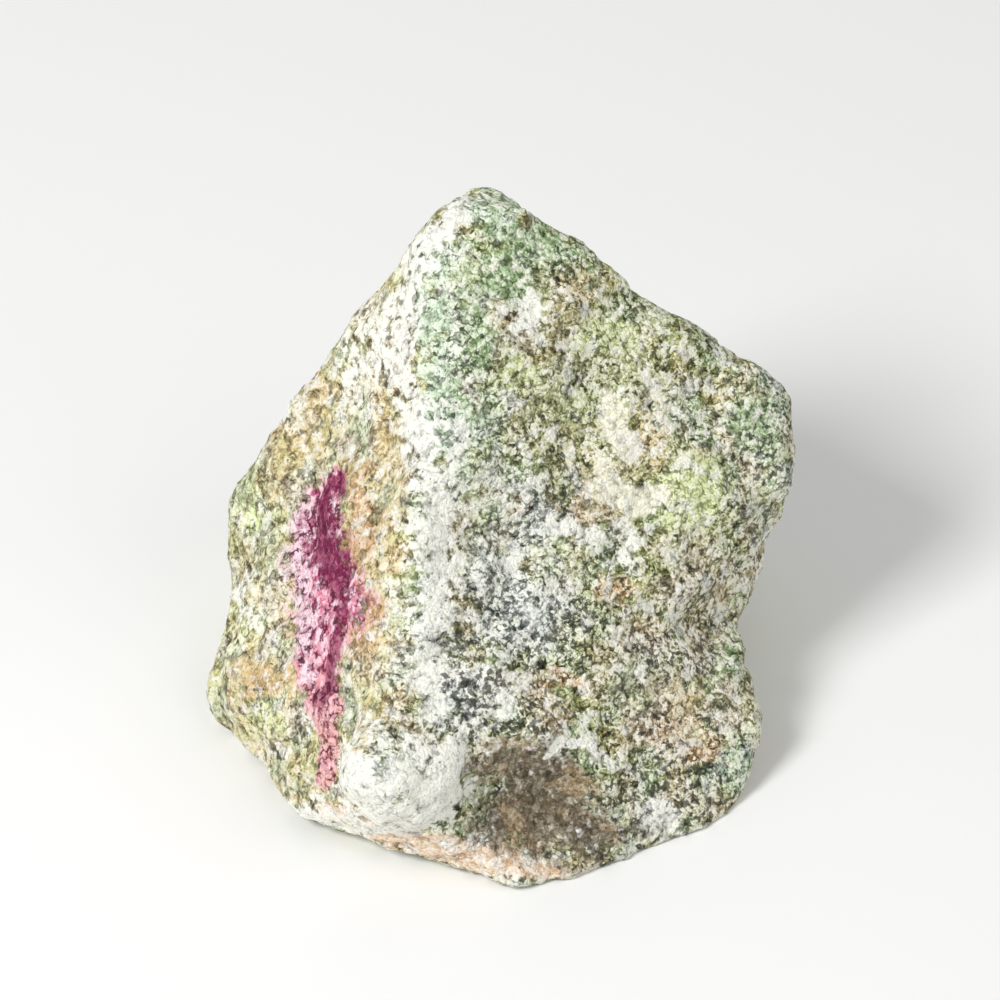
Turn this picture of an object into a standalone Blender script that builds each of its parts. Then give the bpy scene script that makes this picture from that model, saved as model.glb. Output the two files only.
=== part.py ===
"""A rough, broken piece of ruby in zoisite, in metres with +Z up.

X runs to the right and Y away from the front. The stone rests on a flat fracture at Z = 0,
and the origin is at the middle of its box, at the bottom. It grew and broke as one piece,
so it is one solid: a block between fracture faces, with worn edges, chips, hollows and lumps.
"""

import bmesh
import bpy
from mathutils import Vector, noise

MM = 0.001

# Driving dimensions: the block's box before its edges wear and its surface is roughened.
WIDTH = 47.5 * MM
DEPTH = 46.0 * MM
HEIGHT = 44.0 * MM
BOX = Vector((WIDTH, DEPTH, HEIGHT))

# Where the fracture faces meet, as shares of the box: across from the left, back from the
# front, and up from the ground.
CORNERS = {
    "apex_left": (0.43, 0.75, 0.98),
    "apex_right": (0.57, 0.77, 0.96),
    "apex_back": (0.48, 0.86, 0.92),
    "ridge_high": (0.41, 0.57, 0.82),
    "ridge_low": (0.40, 0.17, 0.37),
    "knob": (0.32, 0.07, 0.25),
    "knob_foot": (0.34, 0.08, 0.10),
    "front_lip": (0.55, 0.01, 0.04),
    "front_foot": (0.52, 0.09, 0.00),
    "right_foot": (0.91, 0.20, 0.00),
    "right_low": (0.96, 0.33, 0.11),
    "right_shoulder": (1.01, 0.72, 0.54),
    "right_slope": (0.79, 0.76, 0.74),
    "right_back": (0.97, 0.90, 0.30),
    "right_back_foot": (0.86, 0.92, 0.00),
    "left_foot": (0.20, 0.17, 0.05),
    "left_low": (0.03, 0.47, 0.02),
    "left_mid": (0.05, 0.71, 0.30),
    "left_shoulder": (0.12, 0.72, 0.45),
    "left_back": (0.13, 0.92, 0.30),
    "left_back_foot": (0.10, 0.86, 0.00),
    "back_high": (0.60, 0.98, 0.52),
    "back_foot": (0.45, 1.00, 0.02),
}

# Where the surface bulges (+) or is scooped out (-): the place as shares of the box, the
# radius, the height at the middle, and the share of the radius over which it falls to nothing.
SWELLINGS = {
    "knob": ((0.33, 0.07, 0.25), 5.6 * MM, 1.9 * MM, 0.9),
    "scoop_by_knob": ((0.54, 0.08, 0.16), 7.0 * MM, -1.7 * MM, 0.8),
    "rim_of_scoop": ((0.60, 0.16, 0.28), 3.2 * MM, 0.7 * MM, 0.8),
    "right_waist": ((0.97, 0.48, 0.30), 11.0 * MM, -3.3 * MM, 1.0),
    "trough_by_ridge": ((0.46, 0.33, 0.50), 8.0 * MM, -0.9 * MM, 1.0),
    "swell_right": ((0.84, 0.50, 0.45), 9.0 * MM, 0.9 * MM, 1.0),
    "plate_right": ((0.85, 0.66, 0.56), 8.5 * MM, 0.6 * MM, 0.12),
    "swell_high": ((0.58, 0.60, 0.78), 9.0 * MM, 0.7 * MM, 1.0),
    "flake_low": ((0.78, 0.22, 0.20), 6.5 * MM, -0.5 * MM, 0.7),
    "ruby_bed": ((0.17, 0.47, 0.40), 8.0 * MM, -0.9 * MM, 0.7),
    "left_bulge": ((0.12, 0.36, 0.16), 8.0 * MM, 0.9 * MM, 1.0),
    "left_notch": ((0.05, 0.62, 0.20), 6.0 * MM, -1.0 * MM, 1.0),
    "left_flake": ((0.20, 0.60, 0.58), 6.0 * MM, -0.6 * MM, 0.2),
    "back_scoop": ((0.72, 0.97, 0.36), 13.0 * MM, -3.0 * MM, 0.6),
    "back_lump": ((0.34, 0.98, 0.50), 10.0 * MM, 1.8 * MM, 0.8),
    "back_nick": ((0.22, 0.93, 0.14), 7.0 * MM, -1.6 * MM, 0.5),
    "right_scoop": ((0.96, 0.66, 0.12), 8.0 * MM, -1.6 * MM, 0.6),
}

# Surface
FINE_GRID = 0.75 * MM      # spacing of the points that carry the relief
WEAR_PASSES = 9            # how far the sharp edges are worn round
WEAR_STRENGTH = 0.5
SWELL_SIZE = 15.0 * MM
SWELL_HEIGHT = 0.9 * MM
CHIP_SIZES = (8.5 * MM, 3.6 * MM)
CHIP_SLOPES = (0.09, 0.10)
CHIP_EDGE = 0.22           # share of a chip over which it runs into the next
CHIP_SHUFFLE = 7.3         # stretches the seeds apart, so that each chip tilts its own way
LAYER_NORMAL = Vector((0.40, -0.68, 0.61)).normalized()
LAYER_SPACING = 2.6 * MM
LAYER_HEIGHT = 0.45 * MM
LAYER_PATCH = 8.0 * MM     # how far a ledge runs before it dies out
LAYER_FADE = 1.6           # how soon it does
LAYER_WANDER = 1.5         # how far ledges stray, in spacings
LEDGE_CREST = 0.8          # the share of a ledge over which it rises, before it drops off
OUTLINE_SIZE = 3.0 * MM    # how coarsely the outline of a swelling wanders
OUTLINE_SHARE = 0.25       # and how far, as a share of its radius
UNDERSIDE = 0.5            # faces that look down by more than this are left smoother
NOISE_SEED = 1795463557    # settles how the chips tilt: another number breaks another stone
TRIANGLES = 8600
BASE_CUT = 1.0 * MM        # how much is taken off the bottom to leave the flat that it rests on

# Finish: greyish, yellow-green zoisite rock, taken over the whole stone.
ROCK_COLOUR = (0.46, 0.44, 0.32, 1.0)
ROCK_ROUGHNESS = 0.85


def place(share):
    return Vector([s * side for s, side in zip(share, BOX)])


def clear_scene():
    for obj in list(bpy.data.objects):
        bpy.data.objects.remove(obj)


def block_mesh():
    """The block between its fracture faces: the tightest skin round the corners."""
    bm = bmesh.new()
    for share in CORNERS.values():
        bm.verts.new(place(share))
    hull = bmesh.ops.convex_hull(bm, input=bm.verts)
    bmesh.ops.delete(bm, geom=hull["geom_interior"], context="VERTS")
    mesh = bpy.data.meshes.new("block")
    bm.to_mesh(mesh)
    bm.free()
    return mesh


def evaluated_mesh(obj):
    """The object's mesh with its modifiers applied."""
    graph = bpy.context.evaluated_depsgraph_get()
    return bpy.data.meshes.new_from_object(obj.evaluated_get(graph))


def worn_block():
    """The block on an even grid of points, with its edges worn round."""
    obj = bpy.data.objects.new("block", block_mesh())
    bpy.context.scene.collection.objects.link(obj)
    remesh = obj.modifiers.new("grid", "REMESH")
    remesh.mode = "VOXEL"
    remesh.voxel_size = FINE_GRID
    wear = obj.modifiers.new("wear", "SMOOTH")
    wear.factor = WEAR_STRENGTH
    wear.iterations = WEAR_PASSES
    mesh = evaluated_mesh(obj)
    bpy.data.objects.remove(obj)
    return mesh


def smooth(value):
    """0 below 0, 1 above 1, and a soft step between."""
    value = min(1.0, max(0.0, value))
    return value * value * (3.0 - 2.0 * value)


def swelling(point):
    """The height of the named bulges and scoops at a point."""
    wander = OUTLINE_SHARE * noise.noise(point / OUTLINE_SIZE)
    height = 0.0
    for share, radius, rise, softness in SWELLINGS.values():
        away = (point - place(share)).length / radius + wander
        height += rise * smooth((1.0 - away) / softness)
    return height


def chips(point, size, slope):
    """Flat chips, each tilted its own way, that run into each other at their edges."""
    scaled = point / size
    distances, seeds = noise.voronoi(scaled)
    heights = [(scaled - seed).dot(noise.noise_vector(seed * CHIP_SHUFFLE)) for seed in seeds[:2]]
    share = min(1.0, (distances[1] - distances[0]) / CHIP_EDGE)
    return slope * size * (heights[0] * (1 + share) + heights[1] * (1 - share))


def layers(point, normal):
    """Ledges, here and there, where a face cuts across the layers of the rock."""
    across = 1.0 - abs(normal.dot(LAYER_NORMAL))
    patchy = noise.noise(point / LAYER_PATCH)
    depth = point.dot(LAYER_NORMAL) / LAYER_SPACING + LAYER_WANDER * patchy
    step = depth % 1.0
    ledge = min(step, LEDGE_CREST * (1.0 - step) / (1.0 - LEDGE_CREST))
    return LAYER_HEIGHT * across * smooth(0.5 + LAYER_FADE * patchy) * ledge


def relief(point, normal):
    """How far the surface stands out at a point. The underside is left flat."""
    height = SWELL_HEIGHT * noise.noise(point / SWELL_SIZE) + swelling(point)
    for size, slope in zip(CHIP_SIZES, CHIP_SLOPES):
        height += chips(point, size, slope)
    height += layers(point, normal)
    return height * smooth((1.0 + normal.z) / UNDERSIDE)


def roughen(mesh):
    """Each point moves along its normal by the relief there."""
    moved = [v.co + v.normal * relief(v.co, v.normal) for v in mesh.vertices]
    for vertex, co in zip(mesh.vertices, moved):
        vertex.co = co


def decimated(mesh):
    """Fewer triangles, which stay small where the surface turns."""
    obj = bpy.data.objects.new("rough", mesh)
    bpy.context.scene.collection.objects.link(obj)
    mesh.calc_loop_triangles()
    decimate = obj.modifiers.new("fewer", "DECIMATE")
    decimate.ratio = TRIANGLES / len(mesh.loop_triangles)
    decimate.use_collapse_triangulate = True
    lighter = evaluated_mesh(obj)
    bpy.data.objects.remove(obj)
    return lighter


def cut_flat(mesh):
    """Cuts the bottom off level, and moves the origin to the middle of the cut stone's box."""
    bm = bmesh.new()
    bm.from_mesh(mesh)
    floor = min(v.co.z for v in bm.verts) + BASE_CUT
    geometry = bm.verts[:] + bm.edges[:] + bm.faces[:]
    cut = bmesh.ops.bisect_plane(
        bm, geom=geometry, plane_co=(0, 0, floor), plane_no=(0, 0, 1), clear_inner=True, dist=1e-6
    )
    rim = [e for e in cut["geom_cut"] if isinstance(e, bmesh.types.BMEdge)]
    bmesh.ops.holes_fill(bm, edges=rim, sides=0)
    lows = [min(v.co[axis] for v in bm.verts) for axis in range(3)]
    highs = [max(v.co[axis] for v in bm.verts) for axis in range(3)]
    middle = Vector([(low + high) / 2 for low, high in zip(lows, highs)])
    middle.z = floor
    bmesh.ops.translate(bm, vec=-middle, verts=bm.verts)
    bmesh.ops.recalc_face_normals(bm, faces=bm.faces)
    bm.to_mesh(mesh)
    bm.free()


def rock():
    """Dull, pale stone."""
    material = bpy.data.materials.new("ruby_in_zoisite")
    material.use_nodes = True
    shader = material.node_tree.nodes["Principled BSDF"]
    shader.inputs["Base Color"].default_value = ROCK_COLOUR
    shader.inputs["Roughness"].default_value = ROCK_ROUGHNESS
    shader.inputs["Metallic"].default_value = 0.0
    return material


def stone():
    """The whole stone, which is one solid."""
    rough = worn_block()
    roughen(rough)
    mesh = decimated(rough)
    cut_flat(mesh)
    mesh.materials.append(rock())
    return bpy.data.objects.new("stone", mesh)


clear_scene()
noise.seed_set(NOISE_SEED)
collection = bpy.data.collections.new("ruby_in_zoisite")
bpy.context.scene.collection.children.link(collection)
collection.objects.link(stone())
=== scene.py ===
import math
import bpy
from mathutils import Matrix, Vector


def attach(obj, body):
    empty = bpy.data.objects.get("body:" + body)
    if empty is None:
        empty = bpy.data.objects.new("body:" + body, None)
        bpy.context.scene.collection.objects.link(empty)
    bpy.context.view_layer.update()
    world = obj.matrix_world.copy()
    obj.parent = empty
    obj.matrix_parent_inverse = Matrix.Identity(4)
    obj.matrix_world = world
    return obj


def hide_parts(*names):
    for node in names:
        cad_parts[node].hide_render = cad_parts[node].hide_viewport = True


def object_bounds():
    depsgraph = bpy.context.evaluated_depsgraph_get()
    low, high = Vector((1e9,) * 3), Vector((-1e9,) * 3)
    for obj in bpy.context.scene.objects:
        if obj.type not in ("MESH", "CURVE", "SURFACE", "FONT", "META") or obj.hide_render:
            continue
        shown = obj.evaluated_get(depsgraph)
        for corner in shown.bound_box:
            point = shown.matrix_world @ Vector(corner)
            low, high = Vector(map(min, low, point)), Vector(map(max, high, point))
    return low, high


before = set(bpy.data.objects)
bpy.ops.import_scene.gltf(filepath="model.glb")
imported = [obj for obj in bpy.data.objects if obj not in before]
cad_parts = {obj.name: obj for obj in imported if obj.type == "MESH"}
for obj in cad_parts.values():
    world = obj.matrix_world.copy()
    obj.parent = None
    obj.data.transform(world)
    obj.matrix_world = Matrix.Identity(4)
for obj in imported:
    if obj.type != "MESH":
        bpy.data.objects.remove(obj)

# The looks of a rough piece of ruby in zoisite. The stone's own surface is made finer than the
# solid's, with grains, pits and worn edges, and a grainy rock covers it: pale, sugary zoisite in
# grey, green, yellow and ochre, with dark hornblende specks. A streak of ruby crosses its left
# side and another its back.

from types import SimpleNamespace

import bpy
import numpy as np
from mathutils import Vector, noise

MM = 0.001
NOISE_SEED = 3             # without one, noise_vector is not the same in every run
CAD_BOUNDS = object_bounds()

# The skin, in metres.
SKIN_GRID = 0.30 * MM      # keeps the skin under 200,000 triangles
SKIN_WEAR = 11             # passes of smoothing that take away the solid's facets
RIM_PASSES = 49            # passes that tell how far an edge stands out
LOW_PASSES = 8             # passes that tell how deep a gap between grains is, for the painted shade in gaps
CHIP_SIZE = 3.2 * MM
CHIP_SLOPE = 0.16
CHIP_EDGE = 0.2            # share of a chip over which it runs into the next
CHIP_SHUFFLE = 7.3         # stretches the seeds apart, so that each chip tilts its own way
LUMP_SIZE = 1.5 * MM
LUMP_HEIGHT = 0.20 * MM
GRAIN_SIZE = 0.85 * MM
GRAIN_HEIGHT = 0.20 * MM
GRAIN_BEND = 0.35          # how far the outlines of lumps and grains stray, for their size
GRAIN_BENDS = 1.7          # and how often, across one of them
LUMP_RANGE = (0.75, 0.5)   # the least share of its height that a lump has, and what chance adds
LUMP_SHUFFLE = 9.1         # stretches their seeds apart, as for chips
ROLL_SIZE = 5.0 * MM       # the broadest unevenness
ROLL_HEIGHT = 0.36 * MM
ROLL_FRACTAL = (0.9, 2.0, 5)    # how fast the finer rolls fade, how much finer each is, how many
PIT_SIZE = 2.4 * MM        # the distance between the places for a pit
PIT_DEPTH = 0.45 * MM
PIT_SHARE = 0.35           # the share of the places for a pit that have one
PIT_REACH = 0.3            # a pit's radius, as a share of PIT_SIZE
PIT_CURVE = 1.5            # how fast its wall steepens towards the middle
PIT_SHUFFLE = 11.7         # stretches their seeds apart, too
STREAK_SIZE = 0.8 * MM     # the distance between fine ridges along the rock's layers
STREAK_HEIGHT = 0.16 * MM
STREAK_NARROW = 1.6        # how soon streaks die out as a face turns along the layers
STREAK_BEND = 2.0          # how far they wander
STREAK_DRIFT = 0.12        # how soon one gives way to another along its length
LAYER_NORMAL = Vector((0.40, -0.68, 0.61)).normalized()
BASE_FACING = (-0.98, -0.8)     # a normal's z where the level base stays put, and where it ends

# Marks are placed as they are seen from one side: millimetres to the right of the middle and
# above the lowest point of the outline, then their half width, half height and strength.
FRONT = (0.0, 40.0)        # azimuth and elevation, in degrees
BACK = (180.0, 20.0)
FRONT_MARKS = {
    "green": (
        (3.7, 49.9, 2.8, 1.8, 1.2), (6.2, 47.5, 1.8, 1.3, 0.8), (-2.0, 42.2, 1.3, 4.0, 1.1),
        (-3.1, 37.4, 1.5, 1.8, 0.9), (-0.4, 50.4, 2.6, 1.8, 1.1), (0.8, 47.6, 3.0, 2.2, 1.1),
        (20.2, 35.9, 2.6, 2.8, 1.0), (17.6, 17.4, 1.8, 2.0, 0.9), (18.5, 7.7, 1.3, 3.5, 0.8),
        (-19.6, 31.5, 2.0, 1.8, 0.6), (-21.1, 12.5, 1.5, 2.6, 0.4), (13.2, 43.8, 2.2, 1.5, 0.5),
        (-0.9, 27.5, 1.8, 2.0, 0.3),
    ),
    "ash": (
        (1.5, 20.8, 4.4, 3.4, 1.0), (2.2, 28.7, 2.8, 4.0, 0.8), (-3.3, 14.7, 2.6, 2.6, 1.0),
        (-1.0, 24.6, 2.0, 2.6, 0.8), (12.8, 36.5, 2.0, 2.0, 0.6), (9.0, 26.0, 2.2, 2.2, 0.5),
        (18.0, 20.0, 2.0, 2.0, 0.6), (-1.5, 44.0, 1.3, 2.6, 0.6),
    ),
    "olive": (
        (7.5, 41.5, 4.0, 3.4, 1.0), (3.6, 37.4, 3.0, 4.0, 0.9), (5.6, 33.0, 3.4, 3.4, 0.9),
        (10.4, 39.6, 3.0, 3.0, 0.9), (2.6, 45.8, 2.4, 1.8, 0.8), (12.4, 33.6, 2.6, 3.0, 0.9),
        (1.2, 34.4, 2.0, 2.6, 0.7), (4.0, 27.4, 2.0, 2.0, 0.6), (14.6, 24.4, 3.0, 3.0, 0.6),
        (13.0, 16.0, 3.0, 3.0, 0.5), (-20.6, 24.6, 2.0, 3.6, 0.5),
    ),
    "mint": (
        (-5.1, 43.8, 1.8, 2.6, 1.3), (-4.4, 35.4, 1.8, 2.8, 1.2), (-4.6, 48.2, 2.2, 2.2, 0.9),
        (-4.6, 39.8, 1.5, 2.2, 1.0), (-1.1, 52.1, 2.2, 1.5, 1.0), (-8.4, 9.9, 2.2, 1.8, 0.9),
        (-2.2, 31.5, 1.8, 1.8, 0.6), (-17.4, 28.8, 1.8, 1.3, 0.4), (21.1, 32.3, 1.3, 2.0, 0.6),
    ),
    "lime": (
        (-7.7, 9.2, 1.5, 1.3, 0.6), (-1.6, 47.6, 1.8, 1.6, 0.7), (8.4, 42.9, 2.6, 2.0, 1.0),
        (1.8, 39.6, 1.8, 1.3, 0.8), (14.9, 30.3, 3.2, 2.8, 1.3), (13.0, 31.6, 1.8, 1.8, 1.0),
        (4.0, 25.3, 1.3, 1.5, 0.5), (18.0, 13.9, 1.1, 1.3, 0.5), (-20.2, 29.4, 2.0, 1.6, 0.9),
        (-18.6, 12.4, 1.8, 2.2, 0.7), (-20.6, 20.0, 1.6, 2.6, 0.6), (6.4, 37.6, 2.6, 1.5, 0.6),
        (13.6, 38.5, 1.8, 1.5, 0.4),
    ),
    "ochre": (
        (-14.7, 35.2, 2.4, 2.2, 0.7), (-16.9, 32.8, 2.0, 2.0, 0.7), (-12.5, 37.0, 1.5, 1.8, 0.5),
        (-8.8, 32.3, 1.3, 3.1, 0.6), (-9.9, 16.5, 1.3, 4.4, 0.5), (-9.0, 28.0, 1.3, 3.0, 0.7),
        (-9.4, 23.6, 1.3, 3.4, 0.6), (-18.8, 15.8, 2.6, 1.5, 1.5), (-20.2, 11.0, 1.8, 2.2, 0.4),
        (-16.7, 6.8, 1.8, 1.1, 0.7), (5.9, 46.4, 1.5, 1.8, 0.7), (4.8, 43.6, 1.3, 2.2, 0.5),
        (11.9, 34.8, 2.0, 2.6, 0.8), (5.7, 33.2, 1.8, 1.8, 0.5), (14.1, 13.9, 2.2, 1.8, 0.6),
        (15.2, 10.8, 2.0, 1.8, 0.6),
    ),
    "rust": (
        (-11.2, 26.3, 1.3, 5.2, 1.3), (-11.3, 31.0, 1.2, 2.2, 0.8), (-10.4, 20.6, 1.3, 3.4, 1.1),
        (4.8, 15.4, 2.0, 1.1, 1.0), (-18.8, 15.6, 2.6, 1.5, 0.7), (-17.4, 9.2, 2.6, 2.6, 0.4),
        (9.0, 22.7, 1.8, 1.3, 0.9), (16.3, 9.7, 2.0, 1.5, 0.9), (12.3, 11.7, 1.8, 1.8, 0.6),
        (6.2, 29.3, 1.8, 2.0, 0.5),
    ),
    "beige": (
        (6.6, 29.5, 2.0, 2.2, 0.7), (5.3, 45.5, 2.0, 2.4, 0.5), (14.5, 23.1, 3.5, 3.1, 0.7),
        (15.8, 18.5, 2.2, 2.0, 0.8), (15.2, 38.9, 2.2, 1.3, 0.5), (12.8, 12.5, 2.9, 2.6, 1.2),
        (11.0, 18.6, 2.4, 2.0, 0.7), (16.6, 13.4, 2.0, 2.4, 0.8), (0.0, 9.9, 2.0, 1.8, 0.8),
        (7.9, 16.5, 2.2, 2.2, 0.4),
    ),
    "cream": (
        (-18.5, 21.8, 1.8, 2.6, 0.4), (-7.7, 22.4, 1.3, 5.7, 0.5), (-10.3, 43.5, 2.6, 5.0, 0.6),
        (-10.6, 38.4, 2.2, 2.2, 0.5),
    ),
    "white": (
        (1.8, 44.7, 1.8, 1.8, 0.7), (-3.5, 34.1, 1.1, 1.8, 0.6), (-4.4, 28.8, 1.5, 3.1, 0.8),
        (5.5, 27.5, 1.8, 1.1, 0.8), (9.7, 25.5, 1.8, 1.3, 0.7), (-5.5, 15.2, 1.3, 2.2, 0.8),
        (-2.9, 16.3, 1.8, 1.3, 0.8), (0.0, 14.5, 2.0, 1.3, 0.6), (-10.0, 42.0, 2.0, 4.4, 0.35),
        (15.2, 2.2, 4.4, 1.1, 0.7), (-10.8, 8.6, 2.0, 2.6, 1.0), (-8.1, 9.2, 3.3, 2.6, 0.76),
        (-4.4, 9.0, 1.7, 2.8, 1.3), (-7.7, 6.2, 3.7, 1.5, 1.2), (-16.1, 5.3, 3.3, 1.1, 0.9),
        (-12.3, 4.0, 2.2, 0.9, 0.8), (12.8, 5.5, 2.0, 1.3, 0.6), (10.4, 27.2, 1.6, 1.0, 0.5),
        (1.2, 24.4, 1.4, 1.8, 0.5), (-20.2, 21.8, 1.1, 2.2, 0.5),
    ),
    "dark": (
        (20.4, 33.8, 3.0, 3.6, 0.5), (-1.6, 15.6, 2.6, 1.6, 1.2), (0.9, 12.4, 2.0, 1.2, 1.0),
        (10.6, 24.0, 2.0, 1.4, 0.5), (-4.0, 18.5, 1.6, 1.2, 1.0), (3.1, 18.3, 4.0, 2.0, 0.8),
        (6.4, 20.7, 1.8, 1.5, 0.8), (-0.9, 22.7, 2.6, 1.8, 0.6), (-2.2, 40.7, 1.5, 3.1, 0.4),
        (14.1, 17.8, 4.0, 2.2, 0.5), (18.3, 4.6, 1.8, 3.1, 0.6), (6.2, 13.9, 4.0, 1.8, 0.4),
        (14.1, 7.7, 3.5, 2.6, 0.6), (9.7, 6.8, 2.2, 3.1, 0.6), (-2.0, 12.5, 1.8, 1.8, 0.7),
        (-10.1, 17.4, 1.1, 1.5, 0.6), (-18.7, 14.3, 1.8, 1.3, 0.5), (-15.8, 10.8, 1.1, 2.6, 0.5),
        (4.4, 31.0, 1.8, 2.6, 0.4), (1.3, 34.1, 2.2, 2.6, 0.3),
    ),
    "brown": ((3.2, 6.3, 4.6, 4.4, 1.3), (0.3, 9.2, 2.0, 2.0, 0.9), (6.8, 4.0, 2.6, 2.4, 0.9)),
}
BACK_MARKS = {
    "green": ((-9.0, 30.0, 5.0, 4.0, 0.9), (12.0, 14.0, 4.0, 4.0, 0.7), (-2.0, 42.0, 4.0, 3.0, 0.9)),
    "ash": ((-1.0, 26.0, 4.0, 3.0, 0.9), (10.0, 9.0, 4.0, 3.0, 0.9), (-14.0, 28.0, 3.0, 3.0, 0.8)),
    "olive": ((8.0, 38.0, 5.0, 4.0, 0.9), (-6.0, 16.0, 4.0, 4.0, 0.8), (-13.0, 33.0, 3.0, 3.0, 0.7)),
    "mint": ((1.0, 38.0, 2.0, 3.0, 0.8), (-17.0, 22.0, 2.0, 3.0, 0.7), (14.0, 30.0, 2.0, 2.0, 0.6)),
    "lime": ((4.0, 24.0, 4.0, 3.0, 0.8), (-16.0, 12.0, 3.0, 4.0, 0.7), (-5.0, 36.0, 2.0, 2.0, 0.7)),
    "ochre": ((8.0, 33.0, 4.0, 4.0, 0.9), (-4.0, 12.0, 5.0, 3.0, 0.8), (19.0, 8.0, 3.0, 4.0, 0.6)),
    "rust": ((3.0, 9.0, 3.0, 2.0, 0.8), (-12.0, 17.0, 2.0, 2.0, 0.7), (10.0, 22.0, 2.0, 4.0, 0.6)),
    "beige": ((15.0, 19.0, 4.0, 3.0, 0.7), (-6.0, 21.0, 3.0, 3.0, 0.7), (1.0, 16.0, 3.0, 2.0, 0.6)),
    "cream": ((-12.0, 20.0, 3.0, 1.5, 0.9), (6.0, 8.0, 3.0, 1.5, 0.7), (-8.0, 34.0, 1.5, 2.5, 0.8)),
    "white": ((0.0, 34.0, 1.5, 4.0, 0.8), (15.0, 24.0, 3.0, 2.0, 0.8), (-8.5, 6.5, 2.6, 2.4, 0.55)),
    "dark": ((-2.0, 26.0, 6.0, 3.0, 0.9), (12.0, 6.0, 4.0, 3.0, 0.9), (-14.0, 26.0, 3.0, 3.0, 0.6)),
    "brown": ((-9.0, 9.0, 5.0, 3.5, 0.9),),
}

# Streaks: points along each one, seen the same way, with its half width there.
RIDGE = (
    (-3.3, 52.8, 0.9), (-6.2, 49.1, 1.2), (-7.3, 44.7, 0.9), (-7.3, 38.9, 0.9), (-6.0, 34.1, 1.3),
    (-4.8, 29.0, 1.7), (-4.7, 23.5, 1.6), (-5.0, 18.0, 1.2), (-5.2, 13.0, 0.9),
)
PEACH_BAND = (
    (-13.6, 5.7, 0.9), (-10.1, 4.4, 1.1), (-6.2, 3.3, 1.3), (-1.3, 2.2, 1.5), (4.0, 0.9, 1.1),
)
RUBY_FRONT = (
    (-12.7, 31.5, 1.0), (-13.8, 29.8, 1.4), (-14.3, 27.5, 1.9), (-14.1, 24.9, 2.7), (-13.5, 22.4, 3.1),
    (-13.9, 20.0, 2.2), (-14.3, 17.4, 1.8), (-13.9, 14.3, 1.3), (-13.4, 11.2, 0.9), (-13.6, 7.7, 0.4),
)
RUBY_BACK = (
    (3.5, 31.0, 0.5), (3.9, 28.6, 1.4), (6.4, 26.4, 2.4), (5.9, 23.4, 3.1), (8.4, 21.0, 1.9),
    (8.8, 18.4, 2.5), (11.6, 15.4, 1.2), (11.3, 12.6, 0.5),
)
RUBY_DEEP = (              # the dark core of the front one
    ((-11.9, 31.0, 0.7), (-13.2, 31.3, 0.7), (-14.0, 29.7, 0.6), (-13.8, 27.9, 1.1), (-13.5, 26.0, 1.5),
     (-13.0, 24.2, 1.1), (-12.4, 22.6, 0.5)),
    ((-12.3, 28.6, 0.4), (-11.7, 26.2, 0.4), (-12.0, 23.6, 0.5)),
    ((-12.2, 21.4, 0.5), (-12.8, 18.3, 0.5), (-13.2, 16.1, 0.4), (-14.1, 13.9, 0.4)),
)
RUBY_FRINGE = (            # its pale edge
    ((-15.6, 29.7, 0.9), (-16.1, 26.2, 1.2), (-15.9, 22.7, 1.1), (-15.3, 19.6, 0.9), (-15.0, 16.5, 0.8)),
    ((-12.7, 29.1, 0.7), (-13.1, 27.9, 0.4)),
)

# Curved marks: their strength, then the points along each.
FRONT_LINES = {
    "white": (0.65, (
        ((3.4, 9.7, 0.2), (4.6, 11.1, 0.4), (6.6, 11.1, 0.4), (7.9, 9.8, 0.4), (9.2, 8.9, 0.2)),
    )),
    "cream": (1.4, (
        ((8.2, 38.1, 0.5), (8.8, 35.9, 1.0), (9.8, 33.6, 0.6)),
        ((7.6, 32.9, 0.6), (8.8, 30.8, 1.3), (10.6, 29.8, 1.3), (12.6, 30.3, 0.8)),
    )),
}

# Forms of the face that the marks go with: placed like marks, with how far they stand out, in mm.
FORMS = {
    "knob": (-8.1, 8.9, 4.8, 4.0, 1.1),
    "knob_rim": (-4.9, 9.2, 1.4, 2.6, 0.3),
    "brown_hollow": (2.9, 6.0, 5.0, 4.2, -0.6),
    "groove_left_of_knob": (-12.9, 8.8, 0.9, 3.0, -0.3),
    "groove_right_of_knob": (-2.4, 9.4, 1.0, 2.8, -0.3),
    "ledge_by_white_curve": (5.6, 11.0, 2.6, 0.9, 0.25),
    "ledge_by_cream_streak": (9.7, 30.6, 2.4, 1.2, 0.3),
    "dent_by_ridge": (-4.0, 18.4, 1.6, 1.2, -0.4),
}

# How marks end and where they show.
OUTLINE_WANDER = 1.5       # how far the marks' outlines stray, in millimetres
STREAK_WANDER = 0.5        # the same for the ruby's, the ridge's and the peach band's
WIDE_BENDS = 2.6 * MM      # their size
SMALL_BENDS = 0.9 * MM
SMALL_REACH = 0.5          # how far the small bends go, for the wide ones
WANDER_SEEDS = ((0.0, 5.0), (10.0, 15.0))    # wide and small: across, then up
MARK_FADE = (0.2, 1.7)     # in half sizes from the middle: where a mark starts to fade, and ends
FORM_FADE = (0.2, 1.5)     # the same for the forms
LINE_FADE = (-0.6, 0.6)    # the same across a curved mark, 0 being its edge
SHOW_FADE = (-0.05, 0.2)   # how squarely a face is seen where marks begin to show, and show fully
SEEN = 0.5                 # the share of that from which streaks show
PEACH_SEEN = 0.3
LEFT_FADE = (0.25, 0.6)    # how far a face looks left where it begins to be a left one, and is
FAR_OUT = -3.0             # what a streak's layer holds well away from it
BACK_TAIL = 0.3            # the ruby on the back is coloured like that share of the way along it
BACK_DEEP = 0.8            # how far inside its edge that streak turns dark
BACK_FRINGE = 0.1          # and pale


def colour(red, green, blue):
    """A screen colour, 0 to 255, as the linear values that a shader takes."""
    shares = [value / 255 for value in (red, green, blue)]
    linear = [s / 12.92 if s <= 0.04045 else ((s + 0.055) / 1.055) ** 2.4 for s in shares]
    return (*linear, 1.0)
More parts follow.
